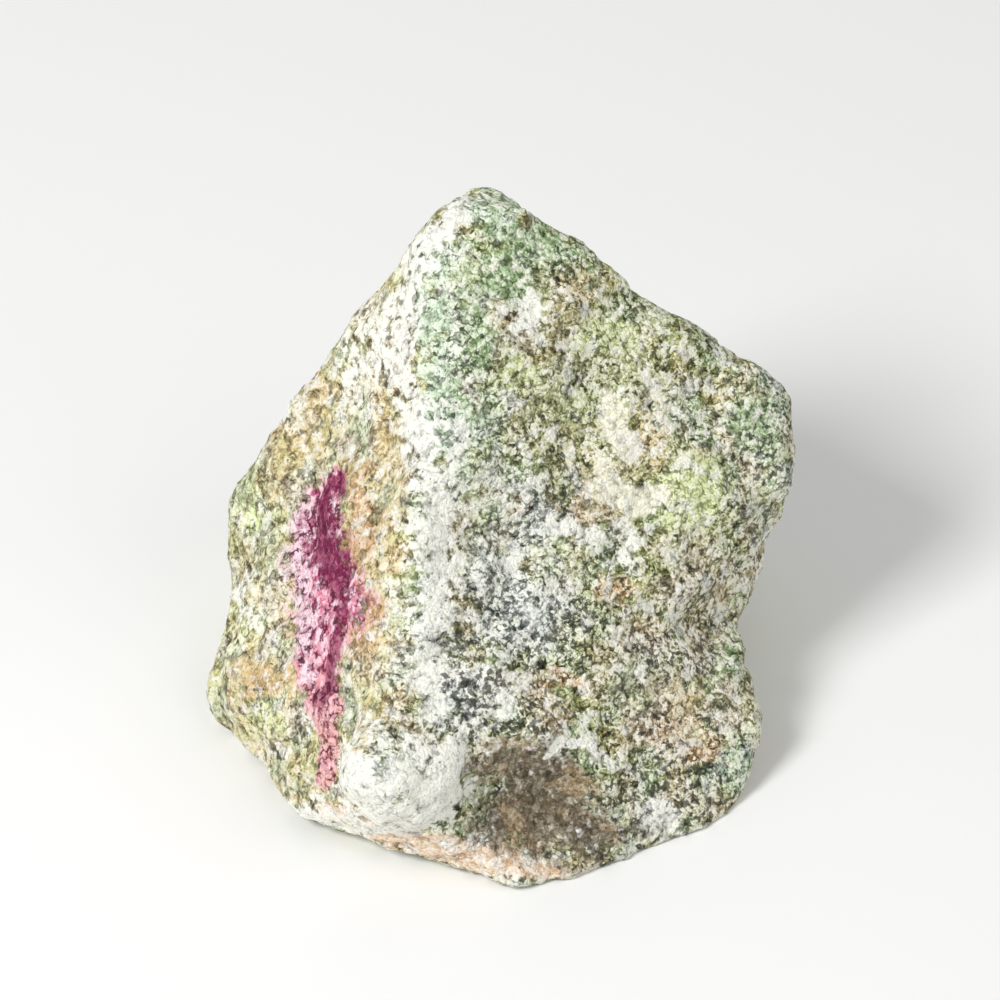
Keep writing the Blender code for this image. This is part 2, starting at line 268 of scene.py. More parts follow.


# Rock colours, as they look in even light, and the colours of painted glints.
GREY = colour(210, 211, 196)
ASH = colour(214, 219, 214)
OLIVE = colour(192, 194, 143)
GREEN = colour(162, 189, 138)
MINT = colour(206, 226, 196)
LIME = colour(226, 236, 172)
OCHRE = colour(228, 205, 148)
RUST = colour(212, 174, 126)
BEIGE = colour(202, 187, 162)
TAN = colour(221, 213, 182)
CREAM = colour(250, 246, 222)
WHITE = colour(250, 250, 245)
BROWN = colour(116, 104, 84)
TAWNY = colour(152, 130, 98)
PEACH = colour(255, 231, 207)
UMBER = colour(112, 97, 75)
HORNBLENDE = colour(56, 57, 50)
RUBY = colour(218, 112, 144)
RUBY_DARK = colour(126, 6, 70)
RUBY_PALE = colour(241, 208, 221)
# Painted highlight: the ruby's glints, pale at its fringe and rose elsewhere.
RUBY_PAINTED_GLINT = colour(252, 226, 230)
ROSE_PAINTED_GLINT = colour(242, 190, 202)
RUBY_TAIL = colour(228, 178, 160)
# Painted highlight: the colour that glints on the crystals are painted towards.
PAINTED_GLINT = colour(254, 253, 240)
WARM = colour(255, 249, 216)
COOL = colour(243, 251, 255)
ROSY = colour(255, 245, 248)
GREENISH = colour(243, 255, 246)
FLOOR = colour(244, 244, 243)
FLOOR_ROUGHNESS = 0.9

# The colour of each kind of mark, in the order in which they are laid.
TINTS = {
    "olive": OLIVE, "ash": ASH, "lime": LIME, "green": GREEN, "beige": BEIGE, "ochre": OCHRE,
    "rust": RUST, "mint": MINT, "cream": CREAM,
}

# Sizes of the material's patterns, in millimetres.
CRYSTAL = 0.66
CRYSTAL_SHIFT = (0.45, 0.7)     # how far crystals' outlines stray, and how often they bend
SUGAR = 0.31               # the small crystals
DUST = 0.2                 # the finest grain
MOTTLE = 0.85              # light and dark spots
SEAM_CRYSTAL = 0.75        # the crystals that have dark seams between them
SEAM_PATCH = 0.8           # how far they run before they break off
SEAM_WIDTH = 0.03          # half the width of a seam, as a share of its crystal
SEAM_CHANCE = 0.6          # how unevenly seams come and go
BLOOM = 1.5                # scattered white spots
PATCH = 2.6                # patches of colour that aren't marked
HUE = 3.2                  # the tint that wanders over the rock
CLOUD = 6.5                # the widest patches
STRIPE = 0.45              # the peach band's stripes
STRIPE_RUN = (0.25, 1.0, 1.0)   # they are long from left to right
VEIN = 0.5                 # the ruby's veins
VEIN_RUN = (1.0, 0.6, 0.4)      # they are long from top to bottom
SPECK = 0.5                # hornblende

# How much finer detail a noise has.
SMOOTH = 2.0
ROUGH = 3.0

# What breaks up the outlines of marks, and how far.
SCATTER_MOTTLE = 1.2
SCATTER_GRAIN = 0.2
SCATTER_SUGAR = 0.15

# How far a mark covers the rock: the values of its layer where that begins and where it is full,
# and how far its outline breaks up.
TINT_COVER = (0.1, 1.0, 1.0)
BROWN_COVER = (0.1, 0.9, 1.5)
WHITE_COVER = (0.1, 0.7, 1.2)
RIDGE_COVER = (-0.85, 0.75, 3.0)
RIM_COVER = (0.15, 0.5, 0.5)
RIM_SHARE = 0.6            # how much of the colour under it the pale rim hides at most

# Where a pattern begins and where it is full, as values of its noise, and how much it hides there.
SEAM_FADE = (-0.04, 0.06)
GREY_CLOUDS = (-0.08, 0.1)
BEIGE_CLOUDS = (0.02, 0.14)
BEIGE_SHARE = 0.6
PATCHES = ((LIME, 0.05, 0.6), (BEIGE, 0.06, 0.5), (GREEN, 0.05, 0.4))    # where it begins, its share
PATCH_FULL = 0.14
PATCH_SCATTER = 0.4        # how far the outlines of patches break up
LEFT_OCHRE = (0.02, 0.14)
LEFT_OCHRE_SCATTER = 0.3
LEFT_OCHRE_SHARE = 0.35
HUE_FADE = (-0.1, 0.1)
TAWNY_FADE = (0.0, 0.15)
BLOOM_FADE = (0.06, 0.13)
BLOOM_GRAIN = 0.12
BLOOM_SHARE = 0.65
GREEN_BARES = 0.7          # how far green and mint keep the bloom away
PEACH_FADE = (-0.2, 0.4)
PEACH_SCATTER = 0.8
STRIPE_FADE = (-0.12, 0.04)
STRIPE_LEAST = 0.3         # how peach the darkest stripe is

# Ruby: where each of its parts begins and is full, and what veins, spots and grains add to it.
RUBY_FADE = (-0.45, 0.4)
RUBY_INSIDE = 1.5
RUBY_SCATTER = 1.8
DEEP_FADE = (-0.45, 0.2)
DEEP_VEIN = -2.4
DEEP_SCATTER = 0.5
DEEP_SHARE = 1.1           # at the upper end
DEEP_SHARE_TAIL = -0.5     # and what the way to the lower end changes
FRINGE_FADE = (-0.4, 0.6)
FRINGE_VEIN = 3.0
FRINGE_SUGAR = 0.6
PALE_FADE = (-0.02, 0.08)
PALE_SUGAR = 0.15
PALE_ENDS = -0.6           # the lower end has fewer pale specks
DARK_FADE = (0.17, 0.3)
DARK_SHARE = 0.7
TAIL_FADE = (0.5, 0.95)    # the share of the way along it where ruby turns salmon

# Light: how much lighter (+) or darker (-) than the rock's colour each thing makes a spot, from its own
# tone or as painted glints and painted shade.
LIGHT_EVERYWHERE = 0.48
LIGHT_GRAIN = 1.4          # from one crystal to the next
LIGHT_MOTTLE = 4.4
LIGHT_SUGAR = 2.2
LIGHT_DUST = 4.2
LIGHT_PATCH = 0.8
LIGHT_SEAM = -1.3
PAINTED_SHADE_SUGAR_EDGE = -0.6    # painted shade towards the edge of a small crystal
PAINTED_SHADE_IN_GAPS = -3.0           # painted shade a millimetre down in a gap between grains
LIGHT_WHITE = 0.14
LIGHT_DARK = -0.2
LIGHT_LEFT = -0.12
LIGHT_RUBY = 0.24
LIGHT_DEEP_RUBY = -0.2     # and its dark core
FINE_LEFT = -0.4           # how the finest grain changes on the left face
SEAM_LEFT = 0.3            # and how the seams do

# Contrast: how far light and dark go, and the share that each kind of rock takes away.
CONTRAST = 1.34
CONTRAST_RUBY = 0.6
CONTRAST_DARK = 0.2
CONTRAST_PATCH = 1.5
CALM = {
    "white": 0.78, "brown": 0.6, "cream": 0.68, "olive": 0.12, "lime": 0.2, "peach": 0.7, "green": 0.3,
}
CALM_LEFT = 0.26
CALM_LEFT_OCHRE = 0.25     # and what ochre and rust add to that

# What light and shade do to a colour: the lighter side is partly the rock's paler crystals and partly
# painted glints, the darker side partly its darker tone and partly painted shade in the gaps.
MOST_LIGHT = 1.8           # more light than this changes nothing
LIGHT_STOPS = 0.2
GLEAM = 0.44               # how far a light spot turns to the painted glint colour
GLEAM_RUBY = -0.12
GLEAM_DEEP_RUBY = -0.17
GLEAM_BROWN = -0.25
SHADE_STOPS = -1.0
SHADE_STOPS_RUBY = 0.6     # ruby and the left face turn to a dark colour of their own instead
SHADE_STOPS_LEFT = 0.3
SHADE_RUBY = (0.6, 0.9)    # how far, and the most
SHADE_LEFT = (0.4, 0.8)

# Hornblende: how thick the specks are everywhere, and what each kind of rock changes.
SPECKS = -0.13
SPECKS_CLOUD = 0.1
SPECKS_WHITE = -0.06
SPECKS_RUBY = -0.07
SPECKS_PEACH = -0.08
SPECKS_MARKED = {"dark": 0.16, "cream": -0.07, "lime": -0.05, "left": -0.03}
SPECK_FADE = (-0.02, 0.05)
SPECK_COVER = 0.8          # how much of the colour under them they hide
SPECK_COVER_RUBY = -0.6
DOT_RADIUS = 0.3           # round specks in the middle of some crystals
DOT_FADE = 0.08
DOT_CHANCE = (0.41, 0.45)
DOT_AMOUNT = 1.2           # how much more of them there are where specks are thick

# The surface.
SPECULAR = 0.25
ROUGHNESS = 0.86
ROUGHNESS_SPECKS = -0.3
ROUGHNESS_RUBY = -0.3
BUMP_HEIGHT = 0.25 * MM
BUMP_SUGAR = 0.25
BUMP_GRAIN = 0.3
BUMP_DUST = 0.6
BUMP_GRAIN_EDGE = -0.5
BUMP_SUGAR_EDGE = -0.3


def direction(azimuth, elevation):
    """From the stone towards a viewer or a light on that side: a step of length 1."""
    turn, lift = math.radians(azimuth), math.radians(elevation)
    return math.sin(turn) * math.cos(lift), -math.cos(turn) * math.cos(lift), math.sin(lift)


# Skin

def soft_step(value, low, high):
    """0 below low and 1 above high, with a soft step between."""
    share = np.clip((value - low) / (high - low), 0.0, 1.0)
    return share * share * (3.0 - 2.0 * share)


def fine_skin(solid):
    """A copy of the solid on a fine, even grid of points."""
    mesh = solid.data.copy()
    skin = bpy.data.objects.new("stone_surface", mesh)
    bpy.context.scene.collection.objects.link(skin)
    remesh = skin.modifiers.new("grid", "REMESH")
    remesh.mode = "VOXEL"
    remesh.voxel_size = SKIN_GRID
    graph = bpy.context.evaluated_depsgraph_get()
    fine = bpy.data.meshes.new_from_object(skin.evaluated_get(graph))
    skin.modifiers.clear()
    skin.data = fine
    return skin


class Skin:
    """The points of the fine skin, with the sums over neighbours that smoothing needs."""

    def __init__(self, mesh):
        self.mesh = mesh
        count = len(mesh.vertices)
        self.places = np.empty(count * 3, np.float32)
        mesh.vertices.foreach_get("co", self.places)
        self.places = self.places.reshape(-1, 3).astype(float)
        ends = np.empty(len(mesh.edges) * 2, np.int32)
        mesh.edges.foreach_get("vertices", ends)
        self.ends = ends.reshape(-1, 2)
        self.degree = np.bincount(self.ends.ravel(), minlength=count)

    def blurred(self, values, passes):
        """Each point's value, moved half way to its neighbours' average, pass after pass."""
        one, other = self.ends.T
        for _ in range(passes):
            columns = []
            for column in values.T:
                total = np.bincount(one, column[other], len(column))
                total += np.bincount(other, column[one], len(column))
                columns.append(0.5 * (column + total / self.degree))
            values = np.stack(columns, axis=1)
        return values

    def move(self, places):
        """Moves the points, but none below the level base."""
        self.places = places.copy()
        self.places[:, 2] = np.maximum(places[:, 2], CAD_BOUNDS[0][2])
        self.mesh.vertices.foreach_set("co", self.places.astype(np.float32).ravel())
        self.mesh.update()

    def raise_by(self, heights):
        """Moves the points outward, less and less towards the level base."""
        normals = self.normals()
        share = soft_step(normals[:, 2], *BASE_FACING)
        self.move(self.places + normals * (heights * share)[:, None])

    def normals(self):
        """Which way the surface faces at each point."""
        flat = np.empty(len(self.places) * 3, np.float32)
        self.mesh.vertex_normals.foreach_get("vector", flat)
        return flat.reshape(-1, 3).astype(float)

    def store(self, name, values):
        """Keeps a number for each point, for the material to read by name."""
        layer = self.mesh.attributes.new(name, "FLOAT", "POINT")
        layer.data.foreach_set("value", values.astype(np.float32))


def rim(skin):
    """How far each point stands out from its surroundings, in millimetres."""
    away = skin.places - skin.blurred(skin.places, RIM_PASSES)
    return (away * skin.normals()).sum(axis=1) / MM


def chips(point):
    """Small flat chips, each tilted its own way."""
    scaled = point / CHIP_SIZE
    distances, seeds = noise.voronoi(scaled)
    tilts = [(scaled - seed).dot(noise.noise_vector(seed * CHIP_SHUFFLE)) for seed in seeds[:2]]
    share = min(1.0, (distances[1] - distances[0]) / CHIP_EDGE)
    return CHIP_SLOPE * CHIP_SIZE * (tilts[0] * (1 + share) + tilts[1] * (1 - share)) / 2


def lumps(point, size, height):
    """Lumps of about that size, each with a height of its own."""
    scaled = point / size
    bend = GRAIN_BEND * noise.noise_vector(GRAIN_BENDS * scaled)
    distances, seeds = noise.voronoi(scaled + bend)
    least, chance = LUMP_RANGE
    return height * (least + chance * noise.cell(seeds[0] * LUMP_SHUFFLE)) * (0.5 - distances[0])


def pit(point):
    """A round hollow at some of the places where one could be."""
    distances, seeds = noise.voronoi(point / PIT_SIZE)
    if noise.cell(seeds[0] * PIT_SHUFFLE) > PIT_SHARE:
        return 0.0
    return -PIT_DEPTH * max(0.0, 1.0 - distances[0] / PIT_REACH) ** PIT_CURVE


def streaks(point, normal):
    """Fine ridges where a face cuts across the rock's layers."""
    across = max(0.0, 1.0 - STREAK_NARROW * abs(normal.dot(LAYER_NORMAL)))
    depth = point.dot(LAYER_NORMAL) / STREAK_SIZE
    bend = STREAK_BEND * noise.noise(point / ROLL_SIZE)
    drift = STREAK_DRIFT * point.length / STREAK_SIZE
    return STREAK_HEIGHT * across * noise.noise(Vector((depth, bend, drift)))


def relief(place, normal):
    """How far the fine surface stands out at a place."""
    point = Vector(place)
    height = ROLL_HEIGHT * noise.fractal(point / ROLL_SIZE, *ROLL_FRACTAL)
    height += chips(point)
    height += lumps(point, LUMP_SIZE, LUMP_HEIGHT)
    height += lumps(point, GRAIN_SIZE, GRAIN_HEIGHT)
    height += pit(point)
    height += streaks(point, Vector(normal))
    return height


def roughen(skin):
    """The fine relief, with each point's depth below its surroundings kept as a layer for the painted
    shade in gaps.
    """
    heights = np.array([relief(p, n) for p, n in zip(skin.places, skin.normals())])
    around = skin.blurred(heights[:, None], LOW_PASSES)[:, 0]
    skin.store("low", (around - heights) / MM)
    skin.raise_by(heights)


# Marks

def seen_from(skin, azimuth, elevation):
    """Where each point is seen, in millimetres across and up, and how squarely it is seen."""
    turn = math.radians(azimuth)
    across = np.array((math.cos(turn), math.sin(turn), 0.0))
    toward = np.array(direction(azimuth, elevation))
    up = np.cross(toward, across)
    rise = skin.places @ up
    facing = soft_step(skin.normals() @ toward, *SHOW_FADE)
    return skin.places @ across / MM, (rise - rise.min()) / MM, facing


def wander(places, size, seed):
    """A smooth random shift of every place, from -1 to 1."""
    offset = Vector((seed, 0.0, 0.0))
    return np.array([noise.noise(Vector(p) / size + offset) for p in places])


def spots(across, up, marks):
    """How strongly the marks of one kind show at each point: 0, up to the strongest mark's strength."""
    total = np.zeros(len(across))
    for middle, height, wide, tall, strength in marks:
        away = np.hypot((across - middle) / wide, (up - height) / tall)
        total = np.maximum(total, strength * (1.0 - soft_step(away, *MARK_FADE)))
    return total


def streak(across, up, line):
    """1 on the line, 0 at the streak's edge and below 0 outside; and the way along it, 0 to 1."""
    inside = np.full(len(across), FAR_OUT)
    along = np.zeros(len(across))
    steps = len(line) - 1
    for index, ((x0, y0, w0), (x1, y1, w1)) in enumerate(zip(line, line[1:])):
        dx, dy = x1 - x0, y1 - y0
        share = ((across - x0) * dx + (up - y0) * dy) / (dx * dx + dy * dy)
        share = np.clip(share, 0.0, 1.0)
        away = np.hypot(across - x0 - share * dx, up - y0 - share * dy)
        here = 1.0 - away / (w0 + share * (w1 - w0))
        nearer = here > inside
        inside = np.where(nearer, here, inside)
        along = np.where(nearer, (index + share) / steps, along)
    return inside, along


def streaks_of(across, up, lines):
    """The same measure of being inside, for several lines."""
    return np.maximum.reduce([streak(across, up, line)[0] for line in lines])


def swell(skin):
    """The low forms that the marks go with."""
    across, up, facing = seen_from(skin, *FRONT)
    heights = np.zeros(len(across))
    for middle, height, wide, tall, rise in FORMS.values():
        away = np.hypot((across - middle) / wide, (up - height) / tall)
        heights += rise * (1.0 - soft_step(away, *FORM_FADE)) * facing
    skin.raise_by(heights * MM)


def strayed(view, stray, reach):
    """A view's places across and up, moved about so that outlines are uneven."""
    return [view[axis] + reach * stray[axis] for axis in (0, 1)]


def mark(skin):
    """Stores every kind of mark as a layer of values on the skin's points."""
    stray = [
        wander(skin.places, WIDE_BENDS, wide) + SMALL_REACH * wander(skin.places, SMALL_BENDS, small)
        for wide, small in WANDER_SEEDS
    ]
    front, back = [seen_from(skin, *view) for view in (FRONT, BACK)]
    seen = front[2] > SEEN
    hidden = (back[2] > SEEN) & (skin.places[:, 1] > 0.0)
    places = strayed(front, stray, STREAK_WANDER)

    for kind, front_marks in FRONT_MARKS.items():
        drawn = np.maximum(*[
            spots(*strayed(view, stray, OUTLINE_WANDER), marks) * view[2]
            for view, marks in ((front, front_marks), (back, BACK_MARKS[kind]))
        ])
        if kind in FRONT_LINES:
            strength, lines = FRONT_LINES[kind]
            curves = soft_step(streaks_of(*places, lines), *LINE_FADE)
            drawn = np.maximum(drawn, strength * curves * front[2])
        skin.store(kind, drawn)

    ruby, tail = streak(*places, RUBY_FRONT)
    behind, _ = streak(*strayed(back, stray, STREAK_WANDER), RUBY_BACK)
    ruby = np.where(seen, ruby, FAR_OUT)
    behind = np.where(hidden, behind, FAR_OUT)
    skin.store("ruby", np.maximum(ruby, behind))
    skin.store("tail", np.where(ruby > behind, tail, BACK_TAIL))
    deep = streaks_of(*places, RUBY_DEEP)
    skin.store("deep", np.where(seen, deep, behind - BACK_DEEP))
    fringe = streaks_of(*places, RUBY_FRINGE)
    skin.store("fringe", np.where(seen, fringe, BACK_FRINGE - behind))
    skin.store("ridge", np.where(seen, streaks_of(*places, (RIDGE,)), FAR_OUT))
    peach = streaks_of(*places, (PEACH_BAND,))
    skin.store("peach", np.where(front[2] > PEACH_SEEN, peach, FAR_OUT))
    skin.store("left", soft_step(-skin.normals()[:, 0], *LEFT_FADE) * front[2])


# Material

class Field:
    """A number for each spot of the surface. Arithmetic on fields adds the nodes that do it."""

    def __init__(self, graph, socket):
        self.graph = graph
        self.socket = socket

    def __add__(self, other):
        return self.graph.maths("ADD", self, other)

    def __sub__(self, other):
        return self.graph.maths("SUBTRACT", self, other)

    def __mul__(self, other):
        return self.graph.maths("MULTIPLY", self, other)

    def __rsub__(self, other):
        return self.graph.maths("SUBTRACT", other, self)

    __radd__ = __add__
    __rmul__ = __mul__

    def most(self, other):
        """The larger of the two."""
        return self.graph.maths("MAXIMUM", self, other)

    def least(self, other):
        """The smaller of the two."""
        return self.graph.maths("MINIMUM", self, other)

    def step(self, low, high):
        """0 below low and 1 above high, with a soft step between."""
        node = self.graph.tree.nodes.new("ShaderNodeMapRange")
        node.interpolation_type = "SMOOTHSTEP"
        self.graph.put(self, node.inputs["Value"])
        node.inputs["From Min"].default_value = low
        node.inputs["From Max"].default_value = high
        return Field(self.graph, node.outputs["Result"])


class Graph:
    """Adds nodes to a material, in millimetres."""

    def __init__(self, material):
        material.use_nodes = True
        self.tree = material.node_tree
        self.shader = self.tree.nodes["Principled BSDF"]
        source = self.tree.nodes.new("ShaderNodeTexCoord")
        self.place = self.vector("SCALE", Field(self, source.outputs["Object"]))
        self.place.socket.node.inputs["Scale"].default_value = 1.0 / MM

    def put(self, value, socket):
        """Gives a socket a field, or the same value all over."""
        if isinstance(value, Field):
            self.tree.links.new(value.socket, socket)
        else:
            socket.default_value = value

    def maths(self, operation, *values):
        node = self.tree.nodes.new("ShaderNodeMath")
        node.operation = operation
        for value, socket in zip(values, node.inputs):
            self.put(value, socket)
        return Field(self, node.outputs[0])

    def vector(self, operation, *values):
        node = self.tree.nodes.new("ShaderNodeVectorMath")
        node.operation = operation
        for value, socket in zip(values, node.inputs):
            self.put(value, socket)
        return Field(self, node.outputs[0])

    def mix(self, share, one, other, blend="MIX"):
        """One colour with that share of the other."""
        node = self.tree.nodes.new("ShaderNodeMix")
        node.data_type = "RGBA"
        node.blend_type = blend
        self.put(share, node.inputs["Factor"])
        self.put(one, node.inputs[6])
        self.put(other, node.inputs[7])
        return Field(self, node.outputs[2])

    def split(self, socket):
        """A colour's three numbers, each moved to lie about 0."""
        node = self.tree.nodes.new("ShaderNodeSeparateColor")
        self.tree.links.new(socket, node.inputs[0])
        return [Field(self, output) - 0.5 for output in node.outputs]

    def noise_node(self, size, detail, place):
        node = self.tree.nodes.new("ShaderNodeTexNoise")
        node.inputs["Scale"].default_value = 1.0 / size
        node.inputs["Detail"].default_value = detail
        self.put(place or self.place, node.inputs["Vector"])
        return node

    def noise(self, size, detail=SMOOTH, place=None):
        """Smooth noise about 0, with features of about that size."""
        return Field(self, self.noise_node(size, detail, place).outputs["Fac"]) - 0.5

    def noises(self, size, detail=SMOOTH, place=None):
        """Three such noises that have nothing to do with each other."""
        return self.split(self.noise_node(size, detail, place).outputs["Color"])

    def grains(self, size, place):
        """Crystals of about that size: the distance from each one's middle, and three random
        numbers about 0 for each one."""
        node = self.tree.nodes.new("ShaderNodeTexVoronoi")
        node.inputs["Scale"].default_value = 1.0 / size
        self.put(place, node.inputs["Vector"])
        return Field(self, node.outputs["Distance"]), self.split(node.outputs["Color"])

    def edges(self, size, place):
        """The distance from the edge of the crystal, for crystals of about that size."""
        node = self.tree.nodes.new("ShaderNodeTexVoronoi")
        node.feature = "DISTANCE_TO_EDGE"
        node.inputs["Scale"].default_value = 1.0 / size
        self.put(place, node.inputs["Vector"])
        return Field(self, node.outputs["Distance"])

    def layer(self, name):
        """The values that were stored on the skin's points under that name."""
        node = self.tree.nodes.new("ShaderNodeAttribute")
        node.attribute_name = name
        return Field(self, node.outputs["Fac"])

    def shifted(self, amount, size):
        """The place, moved about by noise, so that crystals get uneven outlines."""
        shift = Field(self, self.noise_node(size, SMOOTH, None).outputs["Color"])
        return self.vector("MULTIPLY_ADD", shift, (amount, amount, amount), self.place)


def patterns(g):
    """The grains and noises that every part of the rock shares."""
    uneven = g.shifted(*CRYSTAL_SHIFT)
    grain_far, grain = g.grains(CRYSTAL, uneven)
    sugar_far, sugar = g.grains(SUGAR, uneven)
    mottle = g.noise(MOTTLE, ROUGH)
    seam = SEAM_WIDTH + SEAM_CHANCE * g.noise(SEAM_PATCH) - g.edges(SEAM_CRYSTAL, uneven)
    return SimpleNamespace(
        uneven=uneven,
        grain=grain,
        grain_far=grain_far,
        sugar=sugar,
        sugar_far=sugar_far,
        mottle=mottle,
        seam=seam.step(*SEAM_FADE),
        dust=g.noise(DUST),
        patch=g.noises(PATCH, ROUGH),
        cloud=g.noises(CLOUD, ROUGH),
        bloom=g.noise(BLOOM, ROUGH),
        hue=g.noises(HUE),
        scatter=SCATTER_MOTTLE * mottle + SCATTER_GRAIN * grain[0] + SCATTER_SUGAR * sugar[1],
    )


def marked(g, p, name, cover):
    """How far a mark covers the rock, with an outline that breaks up from grain to grain."""
    low, high, reach = cover
    return (g.layer(name) + reach * (p.scatter + p.patch[0])).step(low, high)


def ground(g, p):
    """Zoisite where nothing is marked: grey and olive, in patches, with a tint that wanders."""
    left = g.layer("left")
    base = g.mix(p.cloud[0].step(*GREY_CLOUDS), OLIVE, GREY)
    base = g.mix(BEIGE_SHARE * p.cloud[1].step(*BEIGE_CLOUDS), base, BEIGE)
    for patch, (tint, low, share) in zip(p.patch, PATCHES):
        cover = (patch + PATCH_SCATTER * p.scatter).step(low, PATCH_FULL)
        base = g.mix(share * cover, base, tint)
    base = g.mix(left, base, TAN)
    ochre = (p.patch[2] + LEFT_OCHRE_SCATTER * p.scatter).step(*LEFT_OCHRE)
    base = g.mix(LEFT_OCHRE_SHARE * left * ochre, base, OCHRE)
    warmth = g.mix(p.hue[0].step(*HUE_FADE), COOL, WARM)
    blush = g.mix(p.hue[1].step(*HUE_FADE), GREENISH, ROSY)
    return g.mix(1.0, base, g.mix(1.0, warmth, blush, "MULTIPLY"), "MULTIPLY")


def zoisite(g, p):
    """The rock's colour with its marks, and how much of it is white, brown and peach."""
    base = ground(g, p)
    for name, tint in TINTS.items():
        base = g.mix(marked(g, p, name, TINT_COVER), base, tint)

    band = (g.layer("peach") + PEACH_SCATTER * p.scatter).step(*PEACH_FADE)
    stripe = g.noise(STRIPE, SMOOTH, g.vector("MULTIPLY", g.place, STRIPE_RUN)).step(*STRIPE_FADE)
    base = g.mix(band, base, g.mix(STRIPE_LEAST + (1.0 - STRIPE_LEAST) * stripe, RUST, PEACH))

    brown = marked(g, p, "brown", BROWN_COVER)
    browns = g.mix((p.patch[1] + PATCH_SCATTER * p.scatter).step(*TAWNY_FADE), BROWN, TAWNY)
    base = g.mix(brown, base, browns)

    whites = marked(g, p, "white", WHITE_COVER).most(marked(g, p, "ridge", RIDGE_COVER))
    whites = whites.most(RIM_SHARE * marked(g, p, "rim", RIM_COVER))
    bloom = (p.bloom + BLOOM_GRAIN * p.grain[1]).step(*BLOOM_FADE)
    greens = g.layer("green").most(g.layer("mint")).least(1.0)
    bare = (1.0 - brown) * (1.0 - GREEN_BARES * greens)
    whites = whites.most(BLOOM_SHARE * bloom * bare)
    return g.mix(whites, base, WHITE), whites, brown, band


def ruby(g, p):
    """The ruby: its colour, which is deep in the core, pale in the fringe and salmon at the lower
    end; the colour of its painted glints; where it is; and how deep it is there."""
    vein = g.noise(VEIN, ROUGH, g.vector("MULTIPLY", p.uneven, VEIN_RUN))
    tail = g.layer("tail")
    ends = tail.step(*TAIL_FADE)
    tone = g.mix(ends, RUBY, RUBY_TAIL)
    deep = (g.layer("deep") + DEEP_VEIN * vein + DEEP_SCATTER * p.scatter).step(*DEEP_FADE)
    fringe = (g.layer("fringe") + FRINGE_VEIN * vein + FRINGE_SUGAR * p.sugar[1]).step(*FRINGE_FADE)
    tone = g.mix(fringe, tone, RUBY_PALE)
    pale_specks = (vein + PALE_SUGAR * p.sugar[2]).step(*PALE_FADE)
    tone = g.mix((1.0 + PALE_ENDS * ends) * pale_specks, tone, RUBY_PALE)
    dark_specks = (p.sugar[0] - vein).step(*DARK_FADE)
    tone = g.mix(DARK_SHARE * dark_specks, tone, RUBY_DARK)
    tone = g.mix((DEEP_SHARE + DEEP_SHARE_TAIL * tail) * deep, tone, RUBY_DARK)
    red = (RUBY_INSIDE * g.layer("ruby") + RUBY_SCATTER * p.scatter).step(*RUBY_FADE)
    return tone, g.mix(fringe, ROSE_PAINTED_GLINT, RUBY_PAINTED_GLINT), red, deep


def crystal_light(g, p, whites, brown, band, red, deep):
    """How light each spot is, above or below 0: the rock's own tone from crystal to crystal, with
    painted shade in the gaps between grains and at the edges of small crystals.
    """
    left = g.layer("left")
    dark = g.layer("dark")
    light = LIGHT_EVERYWHERE + LIGHT_GRAIN * p.grain[0] + LIGHT_MOTTLE * p.mottle
    light = light + (1.0 + FINE_LEFT * left) * (LIGHT_SUGAR * p.sugar[0] + LIGHT_DUST * p.dust)
    light = light + (LIGHT_SEAM + SEAM_LEFT * left) * p.seam + LIGHT_PATCH * p.patch[1]
    # Painted shade: darker in the gaps between grains and towards the edges of small crystals.
    light = light + PAINTED_SHADE_IN_GAPS * g.layer("low") + PAINTED_SHADE_SUGAR_EDGE * p.sugar_far
    light = light + LIGHT_LEFT * left + LIGHT_WHITE * whites + LIGHT_DARK * dark
    light = light + (LIGHT_RUBY + LIGHT_DEEP_RUBY * deep) * red

    kinds = {
        "white": whites,
        "brown": brown,
        "peach": band,
        "olive": g.layer("olive"),
        "lime": g.layer("lime"),
        "green": g.layer("green").most(g.layer("mint")),
        "cream": g.layer("cream").least(1.0),
    }
    ochres = g.layer("ochre").most(g.layer("rust").least(1.0))
    calm = left * (CALM_LEFT + CALM_LEFT_OCHRE * ochres)
    for name, cover in kinds.items():
        calm = calm.most(CALM[name] * cover)
    contrast = 1.0 - calm + CONTRAST_RUBY * red + CONTRAST_DARK * dark
    return CONTRAST * light * contrast * (1.0 + CONTRAST_PATCH * p.patch[2])


def lit(g, base, light, brown, red, deep, painted_glint_tint):
    """The colour made lighter where light is above 0, partly the rock's paler crystals and partly
    painted glints, and darker where it is below, partly its darker tone and partly painted shade in the
    gaps.
    """
    bright = light.most(0.0).least(MOST_LIGHT)
    # Painted glints: lighter and whiter where light is high.
    base = g.mix(1.0, base, g.maths("POWER", 2.0, LIGHT_STOPS * bright), "MULTIPLY")
    base = g.mix(1.0, base, PAINTED_GLINT, "DARKEN")
    gleam = GLEAM + red * (GLEAM_RUBY + GLEAM_DEEP_RUBY * deep) + GLEAM_BROWN * brown
    base = g.mix(bright * gleam, base, g.mix(red, PAINTED_GLINT, painted_glint_tint))

    shade = (0.0 - light).most(0.0)
    left = g.layer("left") * (1.0 - red)
    for area, (reach, most), tint in ((red, SHADE_RUBY, RUBY_DARK), (left, SHADE_LEFT, UMBER)):
        base = g.mix((reach * area * shade).least(most), base, tint)
    stops = (SHADE_STOPS + SHADE_STOPS_RUBY * red + SHADE_STOPS_LEFT * left) * shade
    return g.mix(1.0, base, g.maths("POWER", 2.0, stops), "MULTIPLY")


